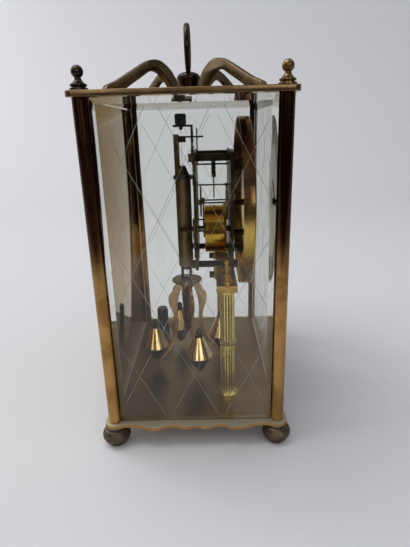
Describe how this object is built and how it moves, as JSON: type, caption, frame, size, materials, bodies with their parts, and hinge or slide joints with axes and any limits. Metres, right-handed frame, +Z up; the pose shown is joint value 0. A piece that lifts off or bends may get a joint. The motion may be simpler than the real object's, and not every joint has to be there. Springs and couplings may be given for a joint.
{
  "type": "table clock",
  "caption": "Four-glass table clock with a torsion pendulum of four turned weights, an open wheel train behind a round dial, scrolled roof arms and a carrying ring.",
  "frame": {"origin": "centre of the footprint at the level of the table", "axes": "+Z up, dial faces -Y, rear door faces +Y, X along the width"},
  "size_m": [0.1526, 0.107, 0.2265],
  "materials": {
    "case_brass": "polished, toned down with age",
    "glass": "clear bevelled plate",
    "mirror_brass": "mirror polished sheet",
    "movement_brass": "polished and lacquered",
    "pendulum_brass": "polished",
    "steel": "bright",
    "blued_steel": "dark blued",
    "dial_enamel": "satin cream",
    "hand_black": "satin black"
  },
  "bodies": {
    "case": {"base_plate": "case_brass", "bun_feet": "case_brass", "corner_posts": "case_brass", "corner_finials": "case_brass", "top_plate": "case_brass", "scroll_arms": "case_brass", "hub_cap": "case_brass", "handle_ring": "case_brass", "glass_front": "glass", "glass_left": "glass", "glass_right": "glass", "columns": "movement_brass", "column_nuts": "movement_brass", "bridge": "movement_brass", "movement_saddles": "movement_brass", "saddle_screws": "blued_steel", "stop_post": "blued_steel", "back_plate": "movement_brass", "front_plate": "movement_brass", "movement_pillars": "movement_brass", "pillar_nuts": "movement_brass", "click_spring": "blued_steel", "dial_pan": "dial_enamel", "dial_feet": "movement_brass", "suspension_bracket": "steel", "suspension_knob": "steel", "suspension_spring": "steel", "guard_tube": "pendulum_brass", "guard_collar": "pendulum_brass", "guard_cone": "blued_steel"},
    "pendulum": {"pendulum_hook": "pendulum_brass", "pendulum_tube": "pendulum_brass", "pendulum_arms": "pendulum_brass", "pendulum_weights": "pendulum_brass"},
    "regulator": {"regulating_disc": "pendulum_brass"},
    "fork_body": {"fork": "steel"},
    "anchor_body": {"anchor": "steel"},
    "escape_body": {"escape_arbor": "steel", "escape_wheel": "movement_brass"},
    "centre_body": {"centre_arbor": "steel", "centre_wheel": "movement_brass", "cannon_pinion": "movement_brass", "minute_hand": "hand_black", "hand_nut": "blued_steel"},
    "third_body": {"third_arbor": "steel", "third_wheel": "movement_brass"},
    "second_body": {"second_arbor": "steel", "second_wheel": "movement_brass"},
    "barrel_body": {"great_wheel": "movement_brass", "barrel_drum": "movement_brass", "barrel_cap": "movement_brass", "mainspring": "blued_steel"},
    "winding_body": {"winding_arbor": "steel", "ratchet_wheel": "movement_brass"},
    "click_body": {"click": "steel"},
    "minute_body": {"minute_wheel": "movement_brass"},
    "hour_body": {"hour_wheel": "movement_brass", "hour_hand": "hand_black"},
    "door": {"rear_door": "mirror_brass"}
  },
  "joints": [
    {"name": "pendulum_swing", "type": "hinge", "parent": "case", "child": "pendulum", "pos_m": [0, 0.0057, 0.0736], "axis": [0, 0, 1], "range_deg": [-140, 140], "stiffness_Nm_per_rad": 0.00002},
    {"name": "fork_twist", "type": "hinge", "parent": "case", "child": "fork_body", "pos_m": [0, 0.0057, 0.1659], "axis": [0, 0, 1], "range_deg": [-8, 8]},
    {"name": "anchor_rock", "type": "hinge", "parent": "case", "child": "anchor_body", "pos_m": [0, -0.01295, 0.1496], "axis": [0, 1, 0], "range_deg": [-5, 5]},
    {"name": "centre_spin", "type": "hinge", "parent": "case", "child": "centre_body", "pos_m": [0, -0.01295, 0.1257], "axis": [0, 1, 0], "continuous": true},
    {"name": "third_spin", "type": "hinge", "parent": "case", "child": "third_body", "pos_m": [0.01188, -0.01295, 0.1256], "axis": [0, 1, 0], "continuous": true},
    {"name": "second_spin", "type": "hinge", "parent": "case", "child": "second_body", "pos_m": [0.00653, -0.01295, 0.11379], "axis": [0, 1, 0], "continuous": true},
    {"name": "barrel_spin", "type": "hinge", "parent": "case", "child": "barrel_body", "pos_m": [-0.0105, -0.01295, 0.1114], "axis": [0, 1, 0], "continuous": true},
    {"name": "escape_spin", "type": "hinge", "parent": "case", "child": "escape_body", "pos_m": [0, -0.01295, 0.13701], "axis": [0, 1, 0], "continuous": true},
    {"name": "minute_wheel_spin", "type": "hinge", "parent": "case", "child": "minute_body", "pos_m": [0, -0.0249, 0.1331], "axis": [0, 1, 0], "continuous": true},
    {"name": "hour_spin", "type": "hinge", "parent": "case", "child": "hour_body", "pos_m": [0, -0.0261, 0.1257], "axis": [0, 1, 0], "continuous": true},
    {"name": "winding_turn", "type": "hinge", "parent": "case", "child": "winding_body", "pos_m": [-0.0105, -0.01295, 0.1114], "axis": [0, -1, 0], "range_deg": [0, 5760]},
    {"name": "click_lift", "type": "hinge", "parent": "case", "child": "click_body", "pos_m": [-0.0135, -0.0008, 0.1014], "axis": [0, 1, 0], "range_deg": [0, 8], "stiffness_Nm_per_rad": 0.0002},
    {"name": "regulator_turn", "type": "hinge", "parent": "pendulum", "child": "regulator", "pos_m": [0, 0.0057, 0.0744], "axis": [0, 0, 1], "range_deg": [-180, 180]},
    {"name": "rear_door_hinge", "type": "hinge", "parent": "case", "child": "door", "pos_m": [0.0629, 0.0457, 0.0994], "axis": [0, 0, -1], "range_deg": [0, 110]}
  ],
  "couplings": [
    {"joint": "fork_twist", "follows": "pendulum_swing", "ratio": 0.05},
    {"joint": "anchor_rock", "follows": "pendulum_swing", "ratio": 0.029141},
    {"joint": "third_spin", "follows": "centre_spin", "ratio": -0.125},
    {"joint": "second_spin", "follows": "centre_spin", "ratio": 0.015625},
    {"joint": "barrel_spin", "follows": "centre_spin", "ratio": -0.0017361},
    {"joint": "escape_spin", "follows": "centre_spin", "ratio": -12},
    {"joint": "minute_wheel_spin", "follows": "centre_spin", "ratio": -0.33333},
    {"joint": "hour_spin", "follows": "centre_spin", "ratio": 0.083333}
  ]
}
